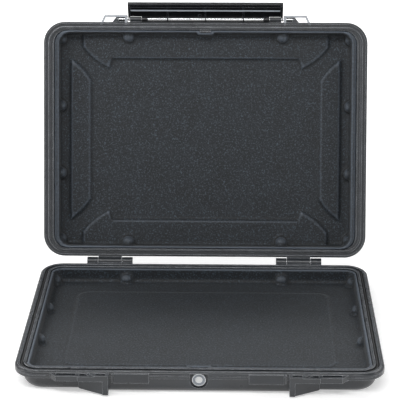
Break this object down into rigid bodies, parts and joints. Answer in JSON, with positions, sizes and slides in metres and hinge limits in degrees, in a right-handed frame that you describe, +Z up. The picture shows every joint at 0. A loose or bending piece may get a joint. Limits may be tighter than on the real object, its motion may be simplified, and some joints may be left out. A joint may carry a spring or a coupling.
{
  "type": "laptop hard case",
  "caption": "Slim open hard case for a portable computer: moulded base and hinged lid with padded liners, a wide front latch between guards, padlock loops and a pressure valve.",
  "frame": {"origin": "centre of the base's flat underside, on the case's middle plane", "axes": "+X to the right seen from the latch side, -Y towards the latch side, +Y towards the hinges, +Z up; the lid is stored open against its stop"},
  "size_m": [0.427, 0.4489, 0.3542],
  "materials": {
    "shell_plastic": "dark grey injection-moulded plastic, fine even texture, satin",
    "latch_plastic": "black injection-moulded plastic, smooth and glossy",
    "liner_foam": "padded foam pressed into shape, covered with short-pile charcoal fabric",
    "steel": "stainless steel, stamped sheet and drawn rod, satin",
    "valve_metal": "turned aluminium, clear anodised",
    "valve_plastic": "black moulded plastic, fine matt",
    "membrane": "white porous film, matt",
    "seal_rubber": "solid rubber cord and washer, matt black"
  },
  "bodies": {
    "base": {"base_shell": "shell_plastic", "base_liner": "liner_foam", "seal_ring": "seal_rubber", "valve_body": "valve_metal", "valve_cover": "valve_plastic", "valve_membrane": "membrane", "valve_screen": "steel", "valve_gasket": "seal_rubber", "valve_nut": "valve_metal", "hinge_pin_left": "steel", "hinge_pin_right": "steel"},
    "lid": {"lid_shell": "shell_plastic", "lid_liner": "liner_foam", "padlock_loop_left": "steel", "padlock_loop_right": "steel", "loop_rivets_left": "steel", "loop_rivets_right": "steel", "latch_pin_left": "steel", "latch_pin_right": "steel"},
    "latch": {"latch": "latch_plastic"}
  },
  "joints": [
    {"name": "lid_hinge", "type": "hinge", "parent": "base", "child": "lid", "pos_m": [0, 0.1615, 0.0265], "axis": [1, 0, 0], "range_deg": [0, 108.2]},
    {"name": "latch_hinge", "type": "hinge", "parent": "lid", "child": "latch", "pos_m": [0, 0.26566, 0.32984], "axis": [1, 0, 0], "range_deg": [-72, 48]}
  ]
}
